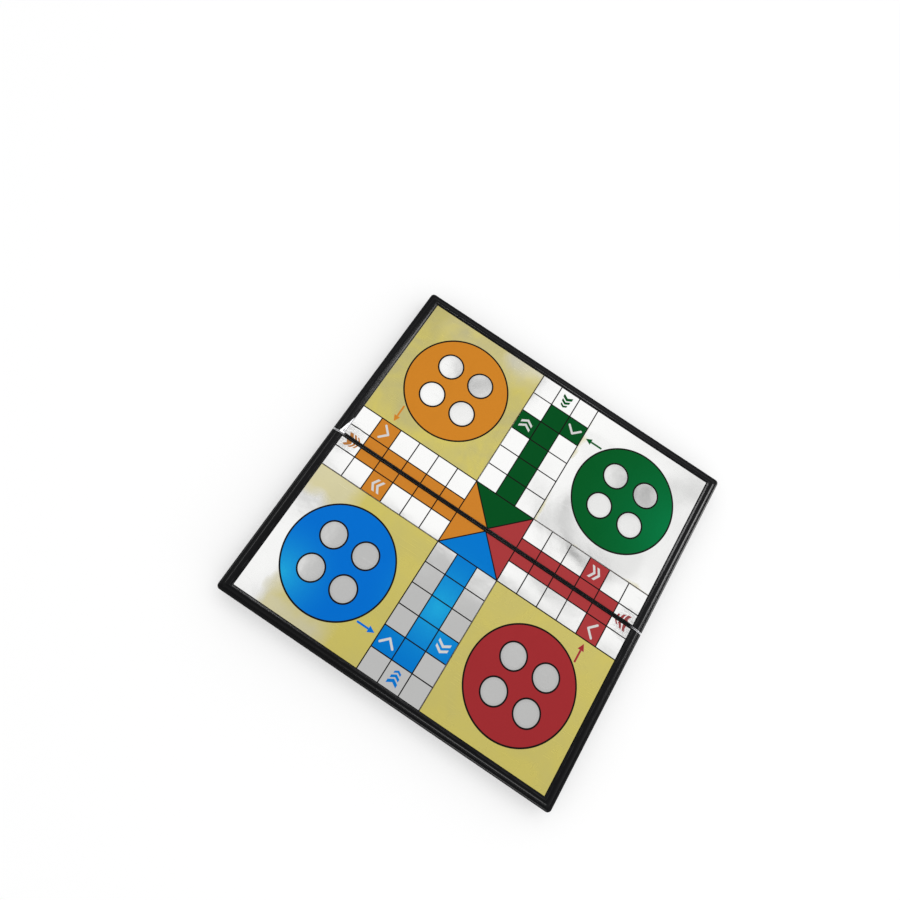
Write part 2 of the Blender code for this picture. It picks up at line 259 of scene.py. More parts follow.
class Field:
    """A number that varies over a surface, so that node arithmetic reads as sums."""

    def __init__(self, tree, socket):
        self.tree = tree
        self.socket = socket

    def math(self, operation, *others, clamp=False):
        node = self.tree.nodes.new("ShaderNodeMath")
        node.operation = operation
        node.use_clamp = clamp
        for place, value in enumerate((self, *others)):
            plug(self.tree, value, node.inputs[place])
        return Field(self.tree, node.outputs[0])

    def __add__(self, other):
        return self.math("ADD", other)

    def __sub__(self, other):
        return self.math("SUBTRACT", other)

    def __rsub__(self, other):
        return (-self).math("ADD", other)

    def __mul__(self, other):
        return self.math("MULTIPLY", other)

    __radd__ = __add__

    def __truediv__(self, other):
        return self.math("DIVIDE", other)

    def __neg__(self):
        return self.math("MULTIPLY", -1)

    def __abs__(self):
        return self.math("ABSOLUTE")

    def least(self, other):
        return self.math("MINIMUM", other)

    def most(self, other):
        return self.math("MAXIMUM", other)

    def above(self, level, softness=PRINT_EDGE):
        """1 where this is over the level, 0 where it is under, with a soft step between."""
        return ((self - level) / softness).math("ADD", 0.5, clamp=True)

    def below(self, level, softness=PRINT_EDGE):
        return 1 - self.above(level, softness)


def plug(tree, value, socket):
    """Links a field or a socket, or sets a plain value."""
    if isinstance(value, Field):
        value = value.socket
    if isinstance(value, bpy.types.NodeSocket):
        tree.links.new(value, socket)
    else:
        socket.default_value = value


def distance(a, b):
    return (a * a + b * b).math("SQRT")


def most_of(fields):
    return reduce(Field.most, fields)


def split_place(tree, place, axes="XYZ"):
    """The parts of a place along the named axes."""
    split = tree.nodes.new("ShaderNodeSeparateXYZ")
    tree.links.new(place, split.inputs[0])
    return [Field(tree, split.outputs[axis]) for axis in axes]


def stretched(tree, place, scale, turn=0.0):
    """A place turned about Z and scaled, which stretches a texture."""
    mapping = tree.nodes.new("ShaderNodeMapping")
    tree.links.new(place, mapping.inputs["Vector"])
    mapping.inputs["Scale"].default_value = scale
    mapping.inputs["Rotation"].default_value = (0, 0, turn)
    return mapping.outputs[0]


def new_group(name, inputs, outputs):
    """A shader node group, with its input and output nodes."""
    group = bpy.data.node_groups.new(name, "ShaderNodeTree")
    for direction, sockets in (("INPUT", inputs), ("OUTPUT", outputs)):
        for label, kind, default in sockets:
            socket = group.interface.new_socket(label, in_out=direction, socket_type="NodeSocket" + kind)
            if default is not None:
                socket.default_value = default
    return group, group.nodes.new("NodeGroupInput"), group.nodes.new("NodeGroupOutput")


def use_group(tree, group, **values):
    """Places a group in a tree, with its inputs named in the call."""
    node = tree.nodes.new("ShaderNodeGroup")
    node.node_tree = group
    for label, value in values.items():
        plug(tree, value, node.inputs[label])
    return node


def effect(tree, group, **values):
    """Places a group that has one output, and gives that output."""
    return Field(tree, use_group(tree, group, **values).outputs[0])


def noise(tree, place, scale, detail=2.0, roughness=0.5, distortion=0.0):
    node = tree.nodes.new("ShaderNodeTexNoise")
    tree.links.new(place, node.inputs["Vector"])
    plug(tree, scale, node.inputs["Scale"])
    node.inputs["Detail"].default_value = detail
    node.inputs["Roughness"].default_value = roughness
    node.inputs["Distortion"].default_value = distortion
    return Field(tree, node.outputs[0])


def object_place(tree):
    return tree.nodes.new("ShaderNodeTexCoord").outputs["Object"]


def mix_colour(tree, share, first, second):
    node = tree.nodes.new("ShaderNodeMix")
    node.data_type = "RGBA"
    plug(tree, share, node.inputs["Factor"])
    for value, label in ((first, "A"), (second, "B")):
        if isinstance(value, tuple):
            value = (*value, 1)
        plug(tree, value, [s for s in node.inputs if s.name == label and s.type == "RGBA"][0])
    return [s for s in node.outputs if s.type == "RGBA"][0]


def bump(tree, height, depth, normal=None):
    node = tree.nodes.new("ShaderNodeBump")
    plug(tree, height, node.inputs["Height"])
    node.inputs["Distance"].default_value = depth
    if normal is not None:
        tree.links.new(normal, node.inputs["Normal"])
    return node.outputs[0]


def new_material(name):
    material = bpy.data.materials.new(name)
    material.use_nodes = True
    return material, material.node_tree, material.node_tree.nodes["Principled BSDF"]


def smudge_group():
    """Finger marks and faint cloudiness, as a share of extra roughness."""
    group, given, result = new_group(
        "smudges",
        [("Place", "Vector", None), ("Size", "Float", 30.0), ("Strength", "Float", 0.1)],
        [("Roughness", "Float", None)],
    )
    clouds = noise(group, given.outputs["Place"], given.outputs["Size"], **SMUDGE_NOISE)
    shaped = clouds.above(*SMUDGE_STEP) * Field(group, given.outputs["Strength"])
    plug(group, shaped, result.inputs["Roughness"])
    return group


def grain_group():
    """The fine tooth of a moulded or rolled surface, as a height."""
    group, given, result = new_group(
        "fine_grain",
        [("Place", "Vector", None), ("Size", "Float", 2500.0)],
        [("Height", "Float", None)],
    )
    fine = noise(group, given.outputs["Place"], given.outputs["Size"], **GRAIN_NOISE)
    plug(group, fine, result.inputs["Height"])
    return group


def scratch_group():
    """Hairline scratches from handling, as a share from 0 to 1."""
    group, given, result = new_group(
        "hairline_scratches",
        [("Place", "Vector", None), ("Size", "Float", 60.0), ("Amount", "Float", 0.5)],
        [("Share", "Float", None)],
    )
    hairs = []
    for turn, stretch in HAIR_SETS:
        place = stretched(group, given.outputs["Place"], (1, stretch, 1), turn)
        lines = abs(noise(group, place, given.outputs["Size"]) - 0.5).below(*HAIR_STEP)
        patches = noise(group, given.outputs["Place"], HAIR_PATCH_SCALE + stretch).above(*HAIR_PATCH_STEP)
        hairs.append(lines * patches)
    plug(group, most_of(hairs) * Field(group, given.outputs["Amount"]), result.inputs["Share"])
    return group


SMUDGES = smudge_group()
GRAIN = grain_group()
SCRATCHES = scratch_group()


def painted_hinge_light_share(tree, place):
    """1 where a light line is painted on the halves' edges at both ends of the hinge line: a painted highlight
    along the gap.
    """
    x, y, z = split_place(tree, place)
    near_line = abs(y).below(HINGE_LIGHT_WIDTH, HINGE_LIGHT_SOFTNESS) * abs(y).above(HINGE_LIGHT_LEAST, HINGE_LIGHT_LEAST_SOFTNESS)
    return near_line * abs(x).above(HINGE_LIGHT_START, HINGE_LIGHT_FADE) * z.above(*LIGHT_LINE_AND_FILM_LOWEST)


def stuck_film_share(tree, place):
    """1 where a torn bit of film lies flat on the rim, at the orange corner's hinge end."""
    x, y, z = split_place(tree, place)
    (top_x, top_y), (low_x, low_y) = STUCK_FILM
    border = top_x + (y - top_y) * ((low_x - top_x) / (low_y - top_y))
    soft = STUCK_FILM_SOFTNESS
    along = (x - border).above(0, soft) * x.above(STUCK_FILM_LEAST_X, soft)
    film = along * x.below(LOOSE_STRIP[-1][1][0], soft) * y.above(FILM_LEAST_Y, soft)
    return film.most(box_share(x, y, *GLUE_PATCH, softness=soft)) * z.above(*LIGHT_LINE_AND_FILM_LOWEST)


def shell_plastic():
    """Black moulded plastic with a satin gloss, faintly worn along its edges."""
    material, tree, shader = new_material("black_moulded_plastic")
    place = object_place(tree)
    smudges = effect(tree, SMUDGES, Place=place, Size=26.0, Strength=0.10)
    scratches = effect(tree, SCRATCHES, Place=place, Size=9.0, Amount=0.8)
    edge = tree.nodes.new("ShaderNodeAttribute")
    edge.attribute_name = "edge"
    patches = noise(tree, place, *NOISES["plastic_wear"]).above(*WEAR_STEP)
    wear = Field(tree, edge.outputs["Fac"]) * patches * WEAR_SHARE
    colour = mix_colour(tree, wear, BLACK_PLASTIC, WORN_PLASTIC)
    colour = mix_colour(tree, stuck_film_share(tree, place), colour, STRIP_GREY)
    # Painted highlight: light lines along the hinge gap at both ends of the hinge line
    colour = mix_colour(tree, painted_hinge_light_share(tree, place), colour, PAINTED_HINGE_LIGHT)
    tree.links.new(colour, shader.inputs["Base Color"])
    rough = smudges + PLASTIC_ROUGHNESS
    rough = rough + scratches * PLASTIC_SCRATCH_ROUGHNESS + wear * PLASTIC_WEAR_ROUGHNESS
    plug(tree, rough, shader.inputs["Roughness"])
    grain = effect(tree, GRAIN, Place=place, Size=2600.0)
    tree.links.new(bump(tree, grain, PLASTIC_GRAIN_DEPTH), shader.inputs["Normal"])
    shader.inputs["Specular IOR Level"].default_value = PLASTIC_SPECULAR
    return material


def turned_steel():
    """Bright drawn wire with fine rings round it."""
    material, tree, shader = new_material("bright_pin_steel")
    place = object_place(tree)
    rings = noise(tree, place, *NOISES["pin_rings"])
    along = split_place(tree, place)[0] * PIN_RINGS
    ringed = along.math("SINE") * PIN_RING_SHARE + rings
    tree.links.new(mix_colour(tree, rings, PIN_STEEL, DULL_PIN_STEEL), shader.inputs["Base Color"])
    plug(tree, rings * PIN_ROUGHNESS + PIN_ROUGHNESS, shader.inputs["Roughness"])
    tree.links.new(bump(tree, ringed, PIN_DEPTH), shader.inputs["Normal"])
    shader.inputs["Metallic"].default_value = 1
    return material


def rolled_steel():
    """Thin rolled sheet, streaked along the roll."""
    material, tree, shader = new_material("rolled_sheet_steel")
    place = stretched(tree, object_place(tree), SHEET_STRETCH)
    streaks = noise(tree, place, *NOISES["sheet_streaks"])
    tree.links.new(mix_colour(tree, streaks, SHEET_STEEL, DULL_SHEET_STEEL), shader.inputs["Base Color"])
    plug(tree, streaks * SHEET_ROUGHNESS + SHEET_ROUGHNESS, shader.inputs["Roughness"])
    tree.links.new(bump(tree, streaks, SHEET_DEPTH), shader.inputs["Normal"])
    shader.inputs["Metallic"].default_value = 1
    return material


# How each arm's quarter of the print is turned onto the orange one: x from (x, y), then y from (x, y)
QUARTERS = {
    "orange": ((1, 0), (0, 1)),
    "green": ((0, -1), (1, 0)),
    "red": ((-1, 0), (0, -1)),
    "blue": ((0, 1), (-1, 0)),
}


def turned_place(x, y, arm):
    """x and y, turned so that an arm's quarter of the print lies where the orange one is."""
    return [x * from_x if from_x else y * from_y for from_x, from_y in QUARTERS[arm]]


def quarter_share(turned_x, turned_y):
    """1 inside one arm with the home on its right, which four turns of the print make a pinwheel."""
    return turned_x.below(-PATH_END) * turned_y.above(-PATH_END)


def centre_share(turned_x, turned_y):
    """1 inside the centre triangle that belongs to an arm."""
    return (-turned_x - abs(turned_y)).above(0)


def box_share(x, y, low_x, high_x, low_y, high_y, softness=PRINT_EDGE):
    across = x.above(low_x, softness) * x.below(high_x, softness)
    return across * y.above(low_y, softness) * y.below(high_y, softness)


def stroke_distance(x, y, start, end):
    """How far a point is from a straight stroke."""
    run = (end[0] - start[0], end[1] - start[1])
    length = math.hypot(*run)
    from_x = x - start[0]
    from_y = y - start[1]
    share = (from_x * (run[0] / length**2) + from_y * (run[1] / length**2)).math("ADD", 0, clamp=True)
    return distance(from_x - share * run[0], from_y - share * run[1])


def cut_chevron(forward, aside, tip, half_width, depth, slope):
    """A chevron whose ends are cut straight, with its tip at a place along its direction."""
    front = forward + abs(aside) * slope
    return front.below(tip) * front.above(tip - depth) * abs(aside).below(half_width)


# An arm, in cells: its coloured cells, the middles of cells with chevrons, and where its cross lines start
COLUMN = (-6.5, -PATH_END, -0.5, 0.5)
START_CELL = (-6.5, -5.5, 0.5, PATH_END)
TURN_CELL = (-5.5, -4.5, -PATH_END, -0.5)
SINGLE_PLACE = (-6, 1)
DOUBLE_PLACE = (-5, -1)
TRIPLE_PLACE = -7
GRID_START = -7.0

# Chevrons, in cells from the middle of their own cell
SINGLE_TIP = (0.14, 0.0)
SINGLE_END = (-0.163, 0.307)
SINGLE_STROKE = 0.098
DOUBLE_TIPS = (0.26, 0.025)
DOUBLE_HALF_WIDTH = 0.284
DOUBLE_DEPTH = 0.120
DOUBLE_SLOPE = 0.61
TRIPLE_SHAPES = ((-0.04, 0.235, 0.150), (0.15, 0.200, 0.125), (0.32, 0.160, 0.100))
TRIPLE_SLOPE = 0.57

# Where the yellow is left out as a painted highlight, bare foil standing for glare on it: borders in cells,
# softness, and how much of it is missing
GLARE_ON_YELLOW = (
    ((1.4, 9.0, 1.4, 9.0), 0.3, 1.0),
    ((-9.0, -6.05, -9.0, -2.5), 1.0, 1.0),
    ((-9.0, -5.4, -3.4, -1.2), 0.9, 0.35),
    ((-6.6, -3.4, -9.0, -6.75), 0.9, 0.38),
    ((-6.7, -1.2, 6.35, 9.0), 0.7, 0.12),
    ((-3.6, -1.2, 6.9, 9.0), 0.8, 0.50),
)

# Where the crumpled film shifts the print, in cells
CRUMPLE_PLACE = 7.1
CRUMPLE_REACH = 0.58
CRUMPLE_SHIFT = 0.7
CRUMPLE_SCALES = (105, 135)

# The arrow beside each home, in cells
ARROW_X = -6.02
ARROW_TIP = 1.66
ARROW_HEAD = 0.30
ARROW_HEAD_HALF_WIDTH = 0.15
ARROW_HEAD_SOFTNESS = 0.06
ARROW_BAR = (-0.045, 0.045, ARROW_HEAD, 0.86)


def print_group():
    """The board's print: which ink is where, worked out on one quarter and turned to all four."""
    labels = ["Tint", "Home", "Path", "Pale", "Line", "Rim", "Sheen"] + [arm.capitalize() for arm in QUARTERS]
    outputs = [(label, "Float", None) for label in labels]
    group, given, result = new_group("board_print", [("Place", "Vector", None)], outputs)
    place = given.outputs["Place"]
    x, y = (value / CELL for value in split_place(group, place, "XY"))
    y = y.math("SIGN") * (abs(y) - PRINT_TO_HINGE)
    x, y = crumpled(group, place, x, y)
    turned = {arm: turned_place(x, y, arm) for arm in QUARTERS}
    shares = {arm: quarter_share(*turned[arm]) for arm in QUARTERS}
    quarter = [sum(turned[arm][axis] * shares[arm] for arm in QUARTERS) for axis in (0, 1)]
    home = home_masks(*quarter)
    path = path_masks(*quarter)
    in_centre, centre_lines = centre_masks(x, y)
    outside = 1 - in_centre
    # Besides the print, the masks carry painted light: gaps in the tint, a shade ring in the spots and a sheen
    # on blue and green
    masks = {
        "Tint": home["tint"] * outside * (1 - painted_glare_share(group, place, x, y)),
        "Home": home["ink"] * outside,
        "Path": path["ink"].most(in_centre),
        "Pale": path["pale"] * outside,
        "Line": (home["line"].most(path["line"]) * outside).most(centre_lines),
        "Rim": home["rim"] * outside,
        "Sheen": painted_sheen_share(x, y),
    }
    for arm in QUARTERS:
        masks[arm.capitalize()] = shares[arm] * outside + centre_share(*turned[arm]) * in_centre
    for label, mask in masks.items():
        plug(group, mask, result.inputs[label])
    return group


def centre_masks(x, y):
    """The middle square, and the lines round it and across it."""
    from_centre = abs(x).most(abs(y))
    inside = from_centre.below(PATH_END)
    diagonals = (abs(abs(x) - abs(y)) / math.sqrt(2)).below(GRID_LINE / 2) * inside
    return inside, diagonals.most(abs(from_centre - PATH_END).below(GRID_LINE / 2))


def crumpled(tree, place, x, y):
    """The print's own x and y, pushed about where the film is crumpled at the ends of the hinge line."""
    near = (1 - distance(abs(x) - CRUMPLE_PLACE, y) / CRUMPLE_REACH).most(0)
    push = near * CRUMPLE_SHIFT
    shift_x, shift_y = ((noise(tree, place, scale, detail=0) - 0.5) * push for scale in CRUMPLE_SCALES)
    return x + shift_x, y + shift_y


def home_masks(x, y):
    """The home square: yellow tint, the big disc, its four bare spots and their outlines, and the arrow."""
    in_home = y.above(PATH_END)
    from_centre = distance(x + HOME_CENTRE, y - HOME_CENTRE)
    from_spot = distance(abs(x + HOME_CENTRE) - SPOT_OFFSET, abs(y - HOME_CENTRE) - SPOT_OFFSET)
    disc = from_centre.below(HOME_RADIUS)
    spots = from_spot.below(SPOT_RADIUS)
    outlines = abs(from_centre - HOME_RADIUS).least(abs(from_spot - SPOT_RADIUS)).below(OUTLINE / 2)
    border = abs(x + PATH_END).least(abs(y - PATH_END)).below(GRID_LINE / 2)
    from_tip = y - ARROW_TIP
    head = from_tip.above(0) * from_tip.below(ARROW_HEAD)
    slant = abs(x - ARROW_X) / ARROW_HEAD_HALF_WIDTH - from_tip / ARROW_HEAD
    head = head * slant.below(0, ARROW_HEAD_SOFTNESS)
    bar = box_share(x - ARROW_X, from_tip, *ARROW_BAR)
    ink = (disc * (1 - spots)).most(head.most(bar)) * in_home
    return {
        "tint": in_home * (1 - disc) * (1 - ink),
        "ink": ink,
        "line": (outlines * in_home).most(border),
        # Painted shade: a ring inside each bare spot's edge, darker towards the outline
        "rim": spots * from_spot.above(SPOT_RADIUS - SPOT_RIM, SPOT_RIM) * in_home,
    }


def painted_glare_share(tree, place, x, y):
    """How much of the yellow is left out as a painted highlight, standing for glare on it, with ragged borders.
    """
    ragged = noise(tree, place, *NOISES["yellow_border"]) - 0.5
    return most_of(
        box_share(x + ragged, y - ragged, *borders, softness=softness) * share
        for borders, softness, share in GLARE_ON_YELLOW
    )


def painted_sheen_share(x, y):
    """Where the blue and green inks are lightened, a painted sheen that stands for light reflected in them, as
    a share.
    """
    shares = [
        (1 - distance(x - mid_x, y - mid_y) / reach).most(0) for (mid_x, mid_y), reach in SHEEN_PLACES
    ]
    return most_of(share * share for share in shares)


def from_grid_line(value):
    """How far a place is from the nearest line between cells."""
    return abs(value + 0.5 - (value + 0.5).math("ROUND"))


def path_masks(x, y):
    """The arm's three rows of cells, with its coloured cells and chevrons."""
    in_path = y.below(PATH_END)
    column, start, turn_back = (box_share(x, y, *cell) for cell in (COLUMN, START_CELL, TURN_CELL))
    from_stroke = stroke_distance(x - SINGLE_PLACE[0], abs(y - SINGLE_PLACE[1]), SINGLE_TIP, SINGLE_END)
    single = from_stroke.below(SINGLE_STROKE / 2)
    back, aside = DOUBLE_PLACE[0] - x, y - DOUBLE_PLACE[1]
    double = most_of(
        cut_chevron(back, aside, tip, DOUBLE_HALF_WIDTH, DOUBLE_DEPTH, DOUBLE_SLOPE) for tip in DOUBLE_TIPS
    )
    triple = most_of(cut_chevron(x - TRIPLE_PLACE, y, *shape, TRIPLE_SLOPE) for shape in TRIPLE_SHAPES)
    ink = most_of([column, start, turn_back, triple]) * in_path
    across = from_grid_line(x).below(GRID_LINE / 2) * x.above(GRID_START)
    grid = across.most(from_grid_line(y).below(GRID_LINE / 2))
    return {
        "ink": ink,
        "pale": (single * start).most(double * turn_back),
        "line": grid * in_path,
    }


def arm_colour(tree, shares, inks, painted_sheen):
    """The colour of the arm that a point belongs to, lightened where the painted sheen lies on the blue and
    green.
    """
    colour = mix_colour(tree, shares["Red"], inks["orange"], inks["red"])
    for arm, sheen_ink in (("green", SHEEN_GREEN), ("blue", SHEEN_BLUE)):
        ink = mix_colour(tree, painted_sheen, inks[arm], sheen_ink)
        colour = mix_colour(tree, shares[arm.capitalize()], colour, ink)
    return colour


def past_label_share(tree, place):
    """1 on the loose strip, outside the label's own edge."""
    return split_place(tree, place)[0].below(LABEL_EDGE, LABEL_EDGE_SOFTNESS)


def end_creases(tree, place):
    """The folds in the film at the ends of the hinge line, lowest along each fold, and how near an end is."""
    x, y = split_place(tree, place, "XY")
    from_x = abs(x) - CREASE_PLACE[0]
    from_y = (abs(y) - CREASE_PLACE[1]) * CREASE_NARROWING
    near = 1 - (distance(from_x, from_y) / CREASE_REACH).least(1)
    creased = stretched(tree, place, CREASE_STRETCH, CREASE_TURN)
    return abs(noise(tree, creased, *NOISES["folds"]) - 0.5), near


def foil_colour(tree, place, shares):
    """Clouded silver, then what lies over it in turn: the painted shade inside the spots, the loose strip's
    grey, the yellow, the opaque inks and the lines.
    """
    cloud = noise(tree, place, *NOISES["foil_cloud"])
    mottle = noise(tree, place, *NOISES["yellow_mottle"]).above(*MOTTLE_STEP)
    mottle = mottle * (shares["Orange"] * MOTTLE_ON_ORANGE + MOTTLE_LEAST)
    # Painted sheen on the blue and green, made grainy
    painted_sheen = shares["Sheen"] * (noise(tree, place, *NOISES["ink_sparkle"]) * SPARKLE_SHARE + SPARKLE_LEAST)
    colour = mix_colour(tree, cloud * FOIL_CLOUD_SHARE, FOIL, CLOUDED_FOIL)
    for share, layer in (
        # Painted shade inside the bare spots' edges
        (shares["Rim"] * SPOT_RIM_SHARE, PAINTED_SPOT_SHADE),
        (past_label_share(tree, place), STRIP_GREY),
        (shares["Tint"], mix_colour(tree, mottle, YELLOW_TINT, DULL_YELLOW)),
        (shares["Home"], arm_colour(tree, shares, HOME_INKS, painted_sheen)),
        (shares["Path"], arm_colour(tree, shares, PATH_INKS, painted_sheen)),
        (shares["Pale"], PALE_INK),
        (shares["Line"], LINE_INK),
    ):
        colour = mix_colour(tree, share, colour, layer)
    return colour


def foil_normal(tree, place, folds, ink):
    """The foil's faint ripple, folds, grain and raised inks."""
    normal = bump(tree, noise(tree, place, *NOISES["foil_ripple"]), FOIL_RIPPLE_DEPTH)
    normal = bump(tree, folds, FOLD_DEPTH, normal)
    normal = bump(tree, effect(tree, GRAIN, Place=place, Size=3400.0), FOIL_GRAIN_DEPTH, normal)
    return bump(tree, ink, INK_DEPTH, normal)


def printed_foil(group):
    """Silver film with its print of translucent yellow, opaque inks and fine black lines, and painted shade in
    its folds.
    """
    material, tree, shader = new_material("printed_silver_foil")
    place = object_place(tree)
    shares = {mask.name: Field(tree, mask) for mask in use_group(tree, group, Place=place).outputs}
    folds, near_end = end_creases(tree, place)
    # Painted shade along the folds near the hinge ends, which also greys the path inks there
    fold_shade = (folds.below(*FOLD_STEP) + shares["Path"] * FOLDED_INK_SHADE_SHARE) * near_end * FOLD_SHADE_SHARE
    colour = mix_colour(tree, fold_shade, foil_colour(tree, place, shares), FOLD_SHADE_GREY)
    tree.links.new(colour, shader.inputs["Base Color"])
    ink = most_of(shares[label] for label in ("Home", "Path", "Pale", "Line"))
    opaque = (ink * INK_COVER).most(shares["Tint"] * TINT_COVER)
    plug(tree, 1 - opaque, shader.inputs["Metallic"])
    smudges = effect(tree, SMUDGES, Place=place, Size=22.0, Strength=0.05)
    scratches = effect(tree, SCRATCHES, Place=place, Size=7.0, Amount=0.4)
    rough = smudges + FOIL_ROUGHNESS + opaque * INK_ROUGHNESS + scratches * FOIL_SCRATCH_ROUGHNESS
    plug(tree, rough, shader.inputs["Roughness"])
    tree.links.new(foil_normal(tree, place, folds * near_end, ink), shader.inputs["Normal"])
    shader.inputs["Specular IOR Level"].default_value = FOIL_SPECULAR
    return material


def mesh_object(name, bm, material):
    mesh = bpy.data.meshes.new(name)
    bm.to_mesh(mesh)
    bm.free()
    obj = bpy.data.objects.new(name, mesh)
    bpy.context.scene.collection.objects.link(obj)
    obj.data.materials.append(material)
    return obj


def smooth_by_angle(mesh):
    mesh.shade_smooth()
    mesh.set_sharp_from_angle(angle=SMOOTH_ANGLE)


def apply_modifiers(obj):
    """Gives an object the mesh that its modifiers make, and takes them away."""
    graph = bpy.context.evaluated_depsgraph_get()
    finished = bpy.data.meshes.new_from_object(obj.evaluated_get(graph))
    obj.modifiers.clear()
    spare = obj.data
    obj.data = finished
    bpy.data.meshes.remove(spare)


def settle_normals(obj):
    """Weighs normals by face area, so that large flats stay flat beside small rounds."""
    obj.modifiers.new("weighted", "WEIGHTED_NORMAL").keep_sharp = True
    apply_modifiers(obj)


def new_geometry_tree(name, inputs):
    """A geometry node tree with named inputs, and its input and output nodes."""
    tree = bpy.data.node_groups.new(name, "GeometryNodeTree")
    for label, kind in inputs.items():
        tree.interface.new_socket(label, in_out="INPUT", socket_type="NodeSocket" + kind)
    tree.interface.new_socket("Geometry", in_out="OUTPUT", socket_type="NodeSocketGeometry")
    return tree, tree.nodes.new("NodeGroupInput"), tree.nodes.new("NodeGroupOutput")


def add_tree(obj, name, tree, values):
    """A geometry nodes modifier, with each input set by its socket's identifier."""
    modifier = obj.modifiers.new(name, "NODES")
    modifier.node_group = tree
    for item in tree.interface.items_tree:
        if item.in_out == "INPUT":
            modifier[item.identifier] = values[item.name]


def is_long_edge(edge):
    """True for the edges that are softened: square ones, and the crest of the chamfer round the pocket."""
    if not edge.is_manifold or edge.calc_length() < EDGE_LEAST:
        return False
    angle = edge.calc_face_angle()
    crest = edge.calc_length() > CREST_LEAST and abs(angle - CREST_ANGLE) < CREST_MARGIN
    return angle > EDGE_ANGLE or crest


def cut_near_corners(bm, side):
    """Cuts the long faces of the rim close to its corners, so that their shading doesn't twist along them."""
    cuts = [((x, 0, 0), (1, 0, 0)) for x in (-CORNER_CUT, CORNER_CUT)]
    cuts += [((0, side * y, 0), (0, 1, 0)) for y in (HINGE_CUT, CORNER_CUT)]
    for place, direction in cuts:
        everything = bm.verts[:] + bm.edges[:] + bm.faces[:]
        bmesh.ops.bisect_plane(bm, geom=everything, dist=WELD, plane_co=place, plane_no=direction)


def softened_shell(node, name, side, material):
    """A shell's own shape with its long edges softened, and those edges marked for wear."""
    bm = bmesh.new()
    bm.from_mesh(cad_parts[node].data)
    worn = bm.faces.layers.float.new("edge")
    bmesh.ops.remove_doubles(bm, verts=bm.verts, dist=WELD)
    bmesh.ops.dissolve_limit(
        bm, angle_limit=FLAT_ANGLE, verts=bm.verts, edges=bm.edges, delimit={"NORMAL"}
    )
    softened = bmesh.ops.bevel(
        bm,
        geom=[edge for edge in bm.edges if is_long_edge(edge)],
        offset=EDGE_SOFTNESS,
        segments=BEVEL_SEGMENTS,
        profile=BEVEL_PROFILE,
        affect="EDGES",
        clamp_overlap=False,
    )
    for face in softened["faces"]:
        face[worn] = 1
    cut_near_corners(bm, side)
    bmesh.ops.dissolve_degenerate(bm, edges=bm.edges, dist=WELD)
    bmesh.ops.triangulate(bm, faces=[f for f in bm.faces if len(f.verts) > 4])
    obj = mesh_object(name, bm, material)
    smooth_by_angle(obj.data)
    settle_normals(obj)
    return obj


def wave_table(seed):
    """Directions, lengths and phases of the foil's faint waves."""
    draw = random.Random(seed)
    waves = []
    for _ in range(FOIL_WAVES):
        turn = draw.uniform(0, math.pi)
        length = draw.uniform(*FOIL_WAVE_LENGTHS)
        waves.append((math.cos(turn) / length, math.sin(turn) / length, draw.uniform(0, math.tau)))
    return waves


def add_loose_strip(bm, label_top):
    """The strip of film that has come away beside the corner and lies up against the rim."""
    rows = []
    for outer, inner in LOOSE_STRIP:
        row = []
        for step in range(STRIP_STEPS + 1):
            share = step / STRIP_STEPS
            spot = Vector(outer).lerp(Vector(inner), share)
            curl = STRIP_CURL * math.sin(math.pi * share)
            row.append(bm.verts.new((spot.x, spot.y, label_top + spot.z - curl)))
        rows.append(row)
    faces = []
    for upper, lower in zip(rows, rows[1:]):
        for a, b, c, d in zip(upper, upper[1:], lower[1:], lower):
            faces.append(bm.faces.new((a, b, c, d)))
    for vert in extruded_verts(bm, faces):
        vert.co.z -= STRIP_THICKNESS


def extruded_verts(bm, faces):
    """Extrudes faces in place, and gives the new corners."""
    extruded = bmesh.ops.extrude_face_region(bm, geom=faces)["geom"]
    return [item for item in extruded if isinstance(item, bmesh.types.BMVert)]


def edge_fade(inset_low, inset_high):
    """0 at a sheet's edges and 1 inside, with no crease where the fade begins or ends."""
    share = min(inset_low / FOIL_EDGE_FADE, inset_high / FOIL_EDGE_FADE, 1)
    return share * share * (3 - 2 * share)


def foil_sheet(node, name, side, material, seed):
    """A foil label with the faint waviness of film on a steel sheet."""
    low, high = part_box(node)
    low.x += FOIL_INSET
    high.x -= FOIL_INSET
    waves = wave_table(seed)
    size = high - low
    centre = (low + high) / 2
    columns, rows = round(size.x / FOIL_STEP), round(size.y / FOIL_STEP)
    bm = bmesh.new()
    bmesh.ops.create_grid(bm, x_segments=columns, y_segments=rows, size=0.5)
    for vert in bm.verts:
        spot = Vector((centre.x + vert.co.x * size.x, centre.y + vert.co.y * size.y))
        fade = edge_fade(spot.x - low.x, high.x - spot.x) * edge_fade(spot.y - low.y, high.y - spot.y)
        rise = sum(math.sin(math.tau * (a * spot.x + b * spot.y) + c) for a, b, c in waves) / FOIL_WAVES
        vert.co = (spot.x, spot.y, high.z + FOIL_WAVE * fade * (rise + 1))
    for vert in extruded_verts(bm, bm.faces[:]):
        vert.co.z = low.z
    if side > 0:
        add_loose_strip(bm, high.z)
    bmesh.ops.recalc_face_normals(bm, faces=bm.faces)
    obj = mesh_object(name, bm, material)
    smooth_by_angle(obj.data)
    return obj


